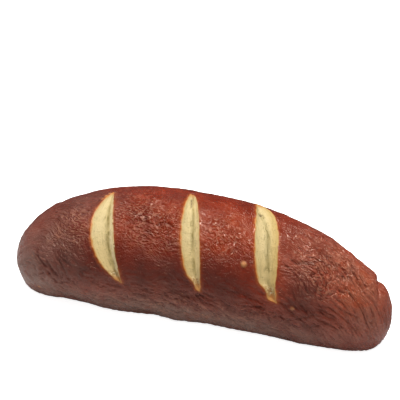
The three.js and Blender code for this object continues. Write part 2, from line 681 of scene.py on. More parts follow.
@dataclass
class CrustRelief:
    """Everything that stands out from the smooth form or is sunk in it, with the values that colour it."""

    form: LoafForm
    skin: RollSkin
    round_mm: float = 0.51
    cut_beyond: float = 25.0
    cut_sweeps: Pair = (-60.0, 90.0)
    outline_steps: int = 81
    opening_steps: int = 41
    lip_height: float = 0.35
    lip_reach: float = 1.7
    rim_step: float = 0.35
    rim_reach: float = 0.7
    crumb_bulge: float = 1.25
    painted_light_from: Pair = (0.04, 0.16)
    streak_seed: int = 91
    streak_height: float = 0.16
    streak_bends: Pair = (5.0, 3.0)
    streaks_from: Pair = (0.2, 1.0)
    facing_down: Pair = (0.55, 0.95)
    near_tray: Pair = (-1.5, -0.2)
    calm_by_cut: float = 1.2
    calm_beneath: Pair = (140.0, 165.0)
    base_wrinkling: float = 0.1
    base_creasing: float = 0.25
    fold_limits: Pair = (0.05, 1.2)
    fold_level: float = 0.6
    middle_folds: Pair = (0.4, 0.7)
    base_browning: float = 0.455
    lump_height: float = 0.55
    lump_seeds: tuple[int, int] = (71, 72)
    lump_grains: Pair = (24.0, 11.0)
    fine_lumps: float = 0.5
    grain_height: float = 0.1
    grain_seed: int = 73
    grain_size: float = 1.7
    bubble_edge: Pair = (0.35, 1.25)
    crease_shade: float = 0.68
    wrinkles: tuple[Wrinkling, ...] = (
        Wrinkling(seed=11, grain=3.4, stretch=4.0, height=1.1, sharpness=0.16),
        Wrinkling(seed=23, grain=2.0, stretch=3.0, height=0.85, sharpness=0.2),
        Wrinkling(seed=37, grain=1.2, stretch=2.6, height=0.6, sharpness=0.28),
    )
    bubbles: tuple[Bubble, ...] = (
        Bubble(x=22.2, sweep=42.0, radius=1.35, height=0.75, tint=0.9),
        Bubble(x=45.2, sweep=71.0, radius=1.0, height=0.3, tint=0.4),
        Bubble(x=-71.0, sweep=99.0, radius=1.1, height=0.1, tint=0.5),
        Bubble(x=-46.6, sweep=-15.0, radius=0.9, height=0.3, tint=0.7),
        Bubble(x=-47.7, sweep=-11.5, radius=1.0, height=0.35, tint=0.85),
        Bubble(x=-48.6, sweep=-7.5, radius=0.8, height=0.25, tint=0.6),
    )
    wrinkled: tuple[Patch, ...] = (
        Patch(-30.0, 12.0, 9.0, 11.0, 0.6),
        Patch(-15.0, 20.0, 10.0, 13.0, 0.65),
        Patch(-58.0, 22.0, 12.0, 12.0, 0.55),
        Patch(8.0, 20.0, 6.0, 12.0, 0.42),
        Patch(18.0, 16.0, 8.0, 12.0, 0.35),
        Patch(57.0, 23.0, 12.0, 10.0, 0.6),
        Patch(52.0, 0.0, 14.0, 9.0, 0.5),
        Patch(74.0, 30.0, 12.0, 18.0, 0.2),
        Patch(0.0, -90.0, 60.0, 14.0, 0.3),
        Patch(0.0, 98.0, 70.0, 13.0, 0.34),
        Patch(48.0, 46.0, 13.0, 13.0, 0.12),
        Patch(-24.0, -60.0, 28.0, 12.0, 0.3),
        Patch(42.0, -62.0, 26.0, 12.0, 0.3),
    )
    creased: tuple[Patch, ...] = (
        Patch(-65.0, 75.0, 12.0, 15.0, 0.45),
        Patch(-31.0, 96.0, 30.0, 8.0, 0.5),
        Patch(6.0, 86.0, 30.0, 8.0, 0.7),
        Patch(46.0, 32.0, 11.0, 10.0, 0.05),
        Patch(60.0, 3.0, 16.0, 10.0, 0.25),
        Patch(73.0, 20.0, 13.0, 20.0, 0.4),
        Patch(48.0, 84.0, 28.0, 10.0, 0.75),
        Patch(-18.0, 52.0, 18.0, 6.0, -0.22),
        Patch(17.0, 52.0, 14.0, 7.0, -0.22),
        Patch(8.0, -38.0, 34.0, 14.0, -0.2),
        Patch(0.0, -95.0, 60.0, 14.0, 0.4),
    )
    browned: tuple[Patch, ...] = (
        Patch(8.0, -32.0, 40.0, 16.0, -0.04),
        Patch(14.0, 10.0, 12.0, 14.0, 0.16),
        Patch(-18.0, 60.0, 24.0, 10.0, -0.32),
        Patch(15.0, 64.0, 14.0, 10.0, -0.27),
        Patch(50.0, 54.0, 8.0, 10.0, -0.36),
        Patch(-62.0, -10.0, 22.0, 20.0, -0.2),
        Patch(-66.0, 35.0, 14.0, 18.0, -0.12),
        Patch(-52.0, 57.0, 11.0, 9.0, -0.3),
        Patch(66.0, 25.0, 22.0, 22.0, 0.25),
        Patch(76.0, 50.0, 14.0, 22.0, 0.26),
        Patch(57.0, 18.0, 12.0, 12.0, 0.12),
        Patch(52.0, 100.0, 40.0, 12.0, -0.15),
    )
    # Painted sheen: patches where the pale floor's greyish reflection is painted into the crust's colour.
    floor_sheen_patches: tuple[Patch, ...] = (
        Patch(-76.0, 66.0, 20.0, 26.0, 0.7),
        Patch(-36.0, 104.0, 50.0, 12.0, 0.9),
        Patch(8.0, 106.0, 44.0, 9.0, 0.6),
        Patch(40.0, 105.0, 40.0, 9.0, 0.45),
        Patch(78.0, 60.0, 18.0, 20.0, 0.38),
        Patch(60.0, 4.0, 24.0, 21.0, 0.38),
        Patch(-55.0, -10.0, 16.0, 14.0, 0.3),
    )
    dents: tuple[Patch, ...] = (
        Patch(-22.0, 112.0, 9.0, 5.0, -1.3),
        Patch(-4.0, 112.0, 8.0, 5.0, 0.8),
        Patch(44.0, 32.0, 4.0, 12.0, -0.5),
        Patch(79.4, -18.0, 1.0, 9.0, -1.3),
        Patch(76.6, -20.0, 1.6, 8.0, 0.6),
        Patch(82.2, -16.0, 1.8, 8.0, 0.3),
        Patch(57.0, -24.0, 1.4, 5.0, 0.5),
        Patch(66.0, -20.0, 1.6, 5.0, 0.5),
        Patch(-74.0, -22.0, 1.6, 6.0, 0.5),
        Patch(-78.0, 108.0, 4.0, 6.0, 0.7),
    )
    tucks: tuple[Patch, ...] = (Patch(-55.0, 112.0, 14.0, 14.0, 2.4),)
    # Pits: deep holes in the crumb, sunk a little and darkened with painted shade.
    pits: tuple[Patch, ...] = (
        Patch(24.4, -19.0, 0.7, 0.9, 1.1),
        Patch(-7.9, -14.0, 0.35, 1.2, 0.8),
        Patch(-7.3, -10.0, 0.35, 1.2, 0.8),
        Patch(-6.7, -6.0, 0.3, 1.2, 0.6),
    )
    furrows: tuple[Furrow, ...] = (
        Furrow(((-72.0, 47.0), (-67.0, 64.0), (-62.0, 80.0), (-57.5, 97.0)), 0.42, 0.34),
        Furrow(((-65.0, 60.0), (-60.0, 75.0), (-56.0, 90.0), (-52.0, 100.0)), 0.26, 0.34),
        Furrow(((-60.0, 55.0), (-56.0, 69.0), (-51.0, 84.0), (-46.0, 93.0)), 0.21),
        Furrow(((-71.0, 41.0), (-71.0, 53.0), (-68.0, 61.0)), 0.21),
        Furrow(((-78.0, 71.0), (-75.0, 84.0), (-72.0, 91.0)), 0.27),
        Furrow(((-55.0, 76.0), (-49.0, 87.0), (-42.0, 96.0)), 0.24),
        Furrow(((37.0, 32.0), (41.5, 36.0), (46.5, 43.0), (51.5, 55.0)), 0.42),
        Furrow(((40.0, 24.0), (44.0, 27.0), (48.0, 26.0), (52.0, 22.0)), 0.42),
        Furrow(((47.0, 32.0), (50.0, 35.0), (52.0, 38.0), (54.0, 42.0)), 0.42),
        Furrow(((53.0, 38.0), (56.0, 52.0), (57.0, 61.0)), 0.30),
        Furrow(((61.0, -2.0), (64.0, 4.0), (67.0, 9.0), (70.0, 16.0)), 0.6, 0.34),
        Furrow(((64.0, 16.0), (68.0, 23.0), (70.0, 31.0)), 0.36),
        Furrow(((65.0, 0.0), (68.0, 6.0), (72.0, 14.0), (75.0, 21.0)), 0.45, 0.34),
        Furrow(((54.0, -9.0), (59.0, -8.0), (63.0, -4.0)), 0.30),
        Furrow(((35.0, -9.0), (39.0, -12.0), (43.0, -10.0)), 0.24),
        Furrow(((-33.0, 10.0), (-29.0, 12.0), (-25.0, 13.0), (-22.5, 15.0)), 0.34),
        Furrow(((-19.0, 23.0), (-17.0, 20.0), (-14.5, 18.0), (-12.0, 20.0), (-9.0, 21.0)), 0.38),
        Furrow(((-24.0, 29.0), (-21.5, 27.0), (-20.0, 23.0)), 0.28),
        Furrow(((39.0, 7.0), (43.0, 11.0), (47.0, 18.0)), 0.27),
        Furrow(((37.0, 87.0), (48.0, 81.0), (57.0, 72.0)), 0.30),
        Furrow(((40.0, 96.0), (50.0, 92.0), (59.0, 84.0)), 0.30),
        Furrow(((66.0, 57.0), (71.0, 61.0), (73.0, 72.0)), 0.24),
        Furrow(((-30.0, 76.0), (-21.0, 79.0), (-12.0, 79.0)), 0.21),
        Furrow(((-26.0, 95.0), (-12.0, 95.0), (1.0, 92.0)), 0.24),
        Furrow(((-10.0, 102.0), (1.0, 102.0), (13.0, 101.0)), 0.24),
        Furrow(((-8.0, 80.0), (-2.0, 84.0), (3.0, 90.0)), 0.30),
        Furrow(((20.0, 83.0), (28.0, 80.0), (34.0, 77.0)), 0.33),
        Furrow(((-34.0, -72.0), (-16.0, -66.0), (2.0, -70.0)), 0.30),
        Furrow(((14.0, -84.0), (30.0, -80.0), (46.0, -86.0)), 0.30),
        Furrow(((-66.0, -60.0), (-60.0, -78.0), (-52.0, -92.0)), 0.36),
    )
    hollow_height: float = 0.6
    hollow_seeds: tuple[int, int] = (74, 75)
    hollow_grains: Pair = (11.0, 5.0)
    fine_hollows: float = 0.6
    furrow_shade: float = 1.7
    furrow_wander: float = 1.0
    furrow_grain: float = 4.5
    furrow_seeds: tuple[int, int] = (7, 8)
    points: Array = field(init=False, repr=False)
    values: dict[str, Array] = field(init=False, repr=False)

    def __post_init__(self) -> None:
        """Works out the finished points and the values on them."""
        x, sweep = self.skin.x, self.skin.sweep
        smooth = self.form.point(x, sweep)
        normals = vertex_normals(smooth, self.skin.quads)
        underside = ease(-normals[:, 2], *self.facing_down) * ease(-smooth[:, 2], *self.near_tray)
        cut = self._cuts()
        flow = CrustFlow(self.form).place(x, sweep)
        calm = ease(cut["distance"], 0.0, self.calm_by_cut) * (1.0 - ease(np.abs(sweep), *self.calm_beneath))
        wrinkling = calm * np.clip(self._sum(self.base_wrinkling, self.wrinkled, smooth), *self.fold_limits)
        creasing = calm * np.clip(self._sum(self.base_creasing, self.creased, smooth), *self.fold_limits)
        raised, painted_shade = self._folded(flow, wrinkling, creasing)
        blister, swelling = self._bubbles(smooth)
        pit = self._sum(0.0, self.pits, smooth) * (cut["distance"] < 0.0)
        lumps = self._two_grains(smooth, self.lump_seeds, self.lump_grains, self.fine_lumps)
        grain = GradientNoise(self.grain_seed).at(smooth / self.grain_size)
        height = (self.lump_height * lumps + self._sum(0.0, self.dents, smooth)) * (1.0 - underside)
        height += self.grain_height * grain * (cut["distance"] > 0.0) + raised
        lines = [calm * line for line in self._furrow_lines(x, sweep)]
        height -= sum(lines)
        height += swelling - cut["sunk"] - pit
        moved = smooth + normals * height[:, None]
        moved[:, 1] += self._sum(0.0, self.tucks, smooth)
        moved[:, 2] = np.maximum(moved[:, 2], 0.0) + underside * self._hollows(smooth)
        self.points = moved
        # Painted shade: the furrows are painted darker too, on top of the creases.
        painted_shade += self.furrow_shade * sum(np.maximum(line, 0.0) for line in lines)
        self.values = {
            **{f"cut_{name}": cut[name] for name in ("distance", "across", "along", "valley", "pale")},
            # Painted shade: how dark the creases and furrows are painted in the crust's colour.
            "crease": np.clip(painted_shade, 0.0, 1.0),
            "wrinkling": wrinkling,
            "browning": self._sum(self.base_browning, self.browned, smooth),
            # Painted sheen of the pale floor, low down and at the ends.
            "floor_sheen": self._sum(0.0, self.floor_sheen_patches, smooth),
            "underside": underside,
            "blister": blister,
            "pit": pit,
            "crust_flow": np.stack([flow[:, 0], flow[:, 1], np.zeros(len(flow))], axis=-1),
        }

    def _sum(self, base: float, patches: tuple[Patch, ...], points: Array) -> Array:
        """Adds patches to a base value."""
        return base + sum(patch.value * patch.weight(self.form, points) for patch in patches)

    def _folded(self, flow: Array, wrinkling: Array, creasing: Array) -> tuple[Array, Array]:
        """Folds the crust at every scale.

        Args:
            flow: Coordinates along and across the flow, one row a point.
            wrinkling: How strongly the narrowest folds show at each point.
            creasing: How strongly the widest do.

        Returns:
            How far each point stands out, and how much painted shade its creases get.
        """
        wide, narrow = self.middle_folds
        amounts = (creasing, wide * creasing + narrow * wrinkling, wrinkling)
        height, painted_shade = np.zeros(len(flow)), np.zeros(len(flow))
        for layer, amount in zip(self.wrinkles, amounts):
            fold = layer.folds(flow)
            height += layer.height * amount * (fold - self.fold_level)
            painted_shade += np.clip(amount, 0.0, 1.0) * (1.0 - fold)
        return height, self.crease_shade * painted_shade

    @staticmethod
    def _two_grains(points: Array, seeds: tuple[int, int], grains: Pair, fine_share: float) -> Array:
        """Adds a fine noise to a wide one.

        Args:
            points: Points of the smooth crust.
            seeds: The seeds of the wide noise and of the fine one.
            grains: How wide the features of each are.
            fine_share: How much of the fine one there is.

        Returns:
            One value a point.
        """
        wide, fine = (GradientNoise(seed).at(points / grain) for seed, grain in zip(seeds, grains))
        return wide + fine_share * fine

    def _hollows(self, points: Array) -> Array:
        """Lifts parts of the base a little off the tray.

        Args:
            points: Points of the smooth crust.

        Returns:
            How far each point would be lifted, 0 where the base rests.
        """
        lifted = self._two_grains(points, self.hollow_seeds, self.hollow_grains, self.fine_hollows)
        return self.hollow_height * np.clip(lifted, 0.0, None)

    def _furrow_lines(self, x: Array, sweep: Array) -> list[Array]:
        """Finds each long crease.

        Args:
            x: Places along the roll.
            sweep: Degrees round the roll from the crown line.

        Returns:
            How far each place is pressed in by each furrow.
        """
        flat = self.form.laid_flat(x, sweep)
        flat = wandered(flat, self.furrow_wander, self.furrow_grain, self.furrow_seeds)
        return [furrow.depth * furrow.pressed(self.form, flat) for furrow in self.furrows]

    def _bubbles(self, points: Array) -> tuple[Array, Array]:
        """Swells the blisters.

        Args:
            points: Points of the smooth crust.

        Returns:
            How much of each point is blister, and how far it stands out.
        """
        share = np.zeros(len(points))
        height = np.zeros(len(points))
        for bubble in self.bubbles:
            place = self.form.point(np.array([bubble.x]), np.array([bubble.sweep]))[0]
            dome = np.linalg.norm(points - place, axis=1) / bubble.radius
            swell = 1.0 - ease(dome, *self.bubble_edge)
            share = np.maximum(share, bubble.tint * swell)
            height += bubble.height * swell
        return share, height

    def _cuts(self) -> dict[str, Array]:
        """Measures every point against the cuts.

        Returns:
            The distance from the nearest cut's edge, negative inside it; the shares of the way across
            from the left edge, along from the back tip, and across from the valley; how much painted
            light brightens the crumb's right flank; and how far the point is sunk.
        """
        x, sweep = self.skin.x, self.skin.sweep
        found = {name: np.zeros_like(x) for name in ("across", "along", "valley", "pale", "sunk")}
        found["distance"] = np.full_like(x, self.cut_beyond)
        for cut in self.skin.cuts:
            off_chord = np.abs(x - cut.chord(np.clip(sweep, *self.cut_sweeps)))
            near = np.flatnonzero(off_chord < self.cut_beyond)
            share = cut.share(sweep[near])
            left = cut.chord(sweep[near]) - cut.left.at(share)
            part = (x[near] - left) / np.maximum(cut.opening(share), TINY)
            inside = (share > 0.0) & (share < 1.0) & (part > 0.0) & (part < 1.0)
            away = self._edge_distance(cut, x[near], sweep[near])
            closer = away < np.abs(found["distance"][near])
            valley = part - cut.valley_at(share)
            new = {
                "distance": np.where(inside, -away, away),
                "across": np.where(inside, part, part > 0.5),
                "along": np.clip(share, 0.0, 1.0),
                "valley": np.where(inside, valley, 1.0),
                # Painted light on the crumb's right flank, growing away from the valley.
                "pale": cut.right_painted_light * ease(valley, *self.painted_light_from),
                "sunk": np.where(inside, self._groove(cut, share, part, away), 0.0),
            }
            for name, values in new.items():
                found[name][near[closer]] = values[closer]
        found["sunk"] -= self.lip_height * np.exp(-((found["distance"] / self.lip_reach) ** 2))
        return found

    def _edge_distance(self, cut: ScoreCut, x: Array, sweep: Array) -> Array:
        """Measures the way over the crust to a cut's outline.

        Args:
            cut: The cut.
            x: Places along the roll.
            sweep: Degrees round the roll from the crown line.

        Returns:
            One distance a place.
        """
        share = np.linspace(0.0, 1.0, self.outline_steps)
        edge_sweep = cut.back_tip[1] + share * (cut.front_tip[1] - cut.back_tip[1])
        line = cut.chord(edge_sweep)
        outline_x = np.concatenate([line - cut.left.at(share), (line + cut.right.at(share))[::-1]])
        outline_y = np.concatenate([edge_sweep, edge_sweep[::-1]]) * self.round_mm
        outline = np.stack([outline_x, outline_y], axis=-1)
        return distance_to_path(outline, np.stack([x, sweep * self.round_mm], axis=-1), self.cut_beyond)

    def _groove(self, cut: ScoreCut, share: Array, part: Array, away: Array) -> Array:
        """Shapes the open crumb: two bulging flanks that meet in a valley line.

        Args:
            cut: The cut.
            share: The share of the way along it.
            part: The share of the way across it.
            away: The distance from its edge.

        Returns:
            How far the crumb lies below the crust.
        """
        clipped = np.clip(part, 0.0, 1.0)
        valley_at = cut.valley_at(share)
        slope = np.minimum(clipped / valley_at, (1.0 - clipped) / (1.0 - valley_at))
        widest = cut.opening(np.linspace(0.0, 1.0, self.opening_steps)).max()
        open_share = np.clip(cut.opening(share) / widest, 0.0, 1.0)
        across, along = self.streak_bends
        streaks = np.stack([part * across, share * along, np.full_like(part, cut.depth)], axis=1)
        ripple = self.streak_height * GradientNoise(self.streak_seed).at(streaks)
        valley = cut.depth * open_share * np.sin(slope * math.pi / 2) ** self.crumb_bulge
        step = self.rim_step * ease(away, 0.0, self.rim_reach)
        return valley + step + ripple * ease(away, *self.streaks_from)


@dataclass(frozen=True)
class Blend:
    """How strongly something shows at each end of the range that a value goes through."""

    over: Pair
    shows: Pair = (0.0, 1.0)


class NodeBench:
    """Places nodes in a tree and wires them together."""

    def __init__(self, tree: bpy.types.NodeTree) -> None:
        """Takes the tree to work in."""
        self.tree = tree

    def add(
        self, kind: str, settings: Settings | None = None, inputs: Inputs | None = None
    ) -> bpy.types.Node:
        """Adds a node.

        Args:
            kind: The node's type.
            settings: Its properties.
            inputs: A value or an output socket for each input, by its name or number.

        Returns:
            The new node.
        """
        node = self.tree.nodes.new(kind)
        for name, value in (settings or {}).items():
            setattr(node, name, value)
        self.feed(node, inputs or {})
        return node

    def feed(self, node: bpy.types.Node, inputs: Inputs) -> None:
        """Sets or wires a node's inputs.

        Args:
            node: The node.
            inputs: A value or an output socket for each input, by its name or number.
        """
        for key, value in inputs.items():
            if isinstance(value, Socket):
                self.tree.links.new(value, node.inputs[key])
            else:
                node.inputs[key].default_value = value

    def math(self, operation: str, a: Number, b: Number = 0.0, clamp: bool = False) -> Socket:
        """Joins two values by arithmetic."""
        settings = {"operation": operation, "use_clamp": clamp}
        return self.add("ShaderNodeMath", settings, {0: a, 1: b}).outputs[0]

    def times(self, a: Number, b: Number) -> Socket:
        """Multiplies two values."""
        return self.math("MULTIPLY", a, b)

    def span(self, value: Socket, blend: Blend) -> Socket:
        """Turns a value smoothly into how strongly something shows."""
        inputs = dict(enumerate((value, *blend.over, *blend.shows)))
        return self.add("ShaderNodeMapRange", {"interpolation_type": "SMOOTHSTEP"}, inputs).outputs[0]

    def mix(self, share: Socket, a: Shade, b: Shade) -> Socket:
        """Mixes two colours.

        Args:
            share: How much of the second colour there is.
            a: The first colour.
            b: The second.

        Returns:
            The mixed colour's socket.
        """
        settings = {"data_type": "RGBA", "clamp_factor": True}
        colours = [(*c, 1.0) if isinstance(c, tuple) else c for c in (a, b)]
        return self.add("ShaderNodeMix", settings, {0: share, 6: colours[0], 7: colours[1]}).outputs[2]

    def ramp(self, value: Socket, stops: tuple[tuple[float, Colour], ...]) -> Socket:
        """Turns a value into a colour along a row of stops.

        Args:
            value: The value's socket.
            stops: The value and the colour of each stop.

        Returns:
            The colour's socket.
        """
        node = self.add("ShaderNodeValToRGB", None, {0: value})
        elements = node.color_ramp.elements
        while len(elements) < len(stops):
            elements.new(1.0)
        for element, (place, colour) in zip(elements, stops):
            element.position = place
            element.color = (*colour, 1.0)
        return node.outputs[0]

    def noise(self, where: Socket, scale: Number, detail: float = 3.0, rough: float = 0.55) -> Socket:
        """Reads fractal noise, about 0.5 in the middle, with a scale in features a metre."""
        inputs = {"Vector": where, "Scale": scale, "Detail": detail, "Roughness": rough}
        return self.add("ShaderNodeTexNoise", None, inputs).outputs[0]

    def lines(self, noise: Socket) -> Socket:
        """Gives how far noise is from its middle, which is 0 along narrow lines."""
        return self.math("ABSOLUTE", self.math("SUBTRACT", noise, 0.5))

    def swing(self, noise: Socket, amount: float) -> Socket:
        """Centres noise on 0 and scales it."""
        return self.times(self.math("SUBTRACT", noise, 0.5), amount)

    def value_on_skin(self, name: str) -> Socket:
        """Reads a value that the mesh carries."""
        return self.add("ShaderNodeAttribute", {"attribute_name": name}).outputs["Fac"]


class FinishBench(NodeBench):
    """The nodes of a new material, with its shader and the place on the object, in metres."""

    def __init__(self, name: str) -> None:
        """Makes the material.

        Args:
            name: The material's name.
        """
        self.material = bpy.data.materials.new(name)
        self.material.use_nodes = True
        super().__init__(self.material.node_tree)
        self.place = self.add("ShaderNodeTexCoord").outputs["Object"]

    def bump(self, height: Socket, distance: float) -> Socket:
        """Turns a height into a normal."""
        inputs = {"Height": height, "Distance": distance, "Strength": 1.0}
        return self.add("ShaderNodeBump", None, inputs).outputs[0]

    def finished(self, inputs: Inputs) -> bpy.types.Material:
        """Sets or wires the shader's inputs, and gives the material."""
        self.feed(self.tree.nodes["Principled BSDF"], inputs)
        return self.material


class SharedEffect:
    """An effect that several finishes use: a node group, built once, that reads the place on the object."""

    name: str
    inputs: dict[str, str]
    outputs: dict[str, str]

    def __init__(self) -> None:
        """Builds the group."""
        self.tree = bpy.data.node_groups.new(self.name, "ShaderNodeTree")
        for direction, sockets in (("INPUT", self.inputs), ("OUTPUT", self.outputs)):
            for socket, kind in sockets.items():
                self.tree.interface.new_socket(socket, in_out=direction, socket_type=kind)
        bench = NodeBench(self.tree)
        given = bench.add("NodeGroupInput").outputs
        bench.add("NodeGroupOutput", None, self.wire(bench, given))

    def wire(self, bench: NodeBench, given: bpy.types.NodeOutputs) -> dict[str, Socket]:
        """Builds the inside, and gives the socket for each output."""
        raise NotImplementedError

    def placed(self, bench: FinishBench, inputs: Inputs) -> bpy.types.NodeOutputs:
        """Puts the group in a material with its own values, and gives its outputs."""
        inputs = {"Place": bench.place, **inputs}
        return bench.add("ShaderNodeGroup", {"node_tree": self.tree}, inputs).outputs


class BakedGrain(SharedEffect):
    """Fine uneven grain of baked dough: a height for bump, and a mottle for colour and gloss."""

    name = "baked_grain"
    inputs = {
        "Place": "NodeSocketVector",
        "Scale": "NodeSocketFloat",
        "Creasing": "NodeSocketFloat",
    }
    outputs = {"Height": "NodeSocketFloat", "Mottle": "NodeSocketFloat"}
    fineness = {"detail": 4.0, "rough": 0.6}
    crease_width = Blend((0.0, 0.12))
    mottle_ratio = 0.23

    def wire(self, bench: NodeBench, given: bpy.types.NodeOutputs) -> dict[str, Socket]:
        """Adds fine creases to soft noise.

        Args:
            bench: The group's nodes.
            given: The group's inputs.

        Returns:
            The socket for each output.
        """
        soft = bench.noise(given["Place"], given["Scale"], **self.fineness)
        creases = bench.times(bench.span(bench.lines(soft), self.crease_width), given["Creasing"])
        plain = bench.times(soft, bench.math("SUBTRACT", 1.0, given["Creasing"]))
        wide = bench.times(given["Scale"], self.mottle_ratio)
        return {
            "Height": bench.math("ADD", creases, plain),
            "Mottle": bench.noise(given["Place"], wide, **self.fineness),
        }


@dataclass(frozen=True)
class RimLook:
    """How the rim of a cut shows in a finish: its colours, widths in millimetres, and strengths."""

    line: Colour
    glow: Colour
    line_width: float
    glow_width: float
    line_share: float
    glow_share: float


class CutRim(SharedEffect):
    """The edge of a score cut: a thin golden line where the crust is thin, and a warm glow round it."""

    name = "cut_rim"
    inputs = {
        "Place": "NodeSocketVector",
        "Distance": "NodeSocketFloat",
        "Along": "NodeSocketFloat",
        "Across": "NodeSocketFloat",
        "Line Width": "NodeSocketFloat",
        "Glow Width": "NodeSocketFloat",
    }
    outputs = {"Line": "NodeSocketFloat", "Glow": "NodeSocketFloat"}
    patch_scale = 420.0
    break_scale = 260.0
    right_edge = Blend((0.4, 0.6), (1.0, 0.4))
    front_tip = Blend((0.8, 0.95))
    broken = Blend((0.35, 0.6), (0.35, 1.0))
    fade = Blend((0.0, 1.0), (1.0, 0.0))

    def wire(self, bench: NodeBench, given: bpy.types.NodeOutputs) -> dict[str, Socket]:
        """Makes the two masks: patchy, and fainter on the right edge except near the front tip.

        Args:
            bench: The group's nodes.
            given: The group's inputs.

        Returns:
            The socket for each output.
        """
        patchy = bench.math("ADD", bench.noise(given["Place"], self.patch_scale), 0.5)
        gap = bench.math("ABSOLUTE", given["Distance"])
        right = bench.span(given["Across"], self.right_edge)
        edges = bench.math("MAXIMUM", right, bench.span(given["Along"], self.front_tip))
        broken = bench.span(bench.noise(given["Place"], self.break_scale), self.broken)
        strength = bench.times(edges, broken)
        masks = {}
        for output in self.outputs:
            share = bench.math("DIVIDE", gap, bench.times(given[f"{output} Width"], patchy))
            masks[output] = bench.times(bench.span(share, self.fade), strength)
        return masks

    def drawn(self, bench: FinishBench, colour: Socket, look: RimLook) -> Socket:
        """Draws the rims over a finish's colour.

        Args:
            bench: The material's nodes.
            colour: The colour so far.
            look: How the rims show.

        Returns:
            The colour with the rims on it.
        """
        read = {name: bench.value_on_skin(f"cut_{name.lower()}") for name in ("Distance", "Along", "Across")}
        widths = {"Line Width": look.line_width, "Glow Width": look.glow_width}
        masks = self.placed(bench, {**read, **widths})
        colour = bench.mix(bench.times(masks["Glow"], look.glow_share), colour, look.glow)
        return bench.mix(bench.times(masks["Line"], look.line_share), colour, look.line)


@dataclass(frozen=True)
class Sprinkle:
    """How flecks are strewn over a finish: their colour, cells a metre, size in a cell, and strength."""

    colour: Colour
    scale: float
    size: float
    share: float


class BakedFlecks(SharedEffect):
    """Scattered tiny round flecks, as pinholes and flour specks are."""

    name = "baked_flecks"
    inputs = {"Place": "NodeSocketVector", "Scale": "NodeSocketFloat", "Size": "NodeSocketFloat"}
    outputs = {"Mask": "NodeSocketFloat"}
    dot = Blend((0.5, 1.0), (1.0, 0.0))
    chosen = Blend((0.55, 0.7))

    def wire(self, bench: NodeBench, given: bpy.types.NodeOutputs) -> dict[str, Socket]:
        """Keeps the middle of some cells only.

        Args:
            bench: The group's nodes.
            given: The group's inputs.

        Returns:
            The socket for each output.
        """
        inputs = {"Vector": given["Place"], "Scale": given["Scale"]}
        cells = bench.add("ShaderNodeTexVoronoi", None, inputs).outputs
        near = bench.math("DIVIDE", cells["Distance"], given["Size"])
        dot = bench.span(near, self.dot)
        return {"Mask": bench.times(dot, bench.span(cells["Color"], self.chosen))}

    def strewn(self, bench: FinishBench, colour: Socket, look: Sprinkle) -> Socket:
        """Strews flecks over a finish's colour.

        Args:
            bench: The material's nodes.
            colour: The colour so far.
            look: How the flecks are strewn.

        Returns:
            The colour with the flecks on it.
        """
        masks = self.placed(bench, {"Scale": look.scale, "Size": look.size})
        return bench.mix(bench.times(masks["Mask"], look.share), colour, look.colour)


@dataclass(frozen=True)
class Effects:
    """The shared effects, built once for all the finishes."""

    grain: BakedGrain
    rim: CutRim
    flecks: BakedFlecks


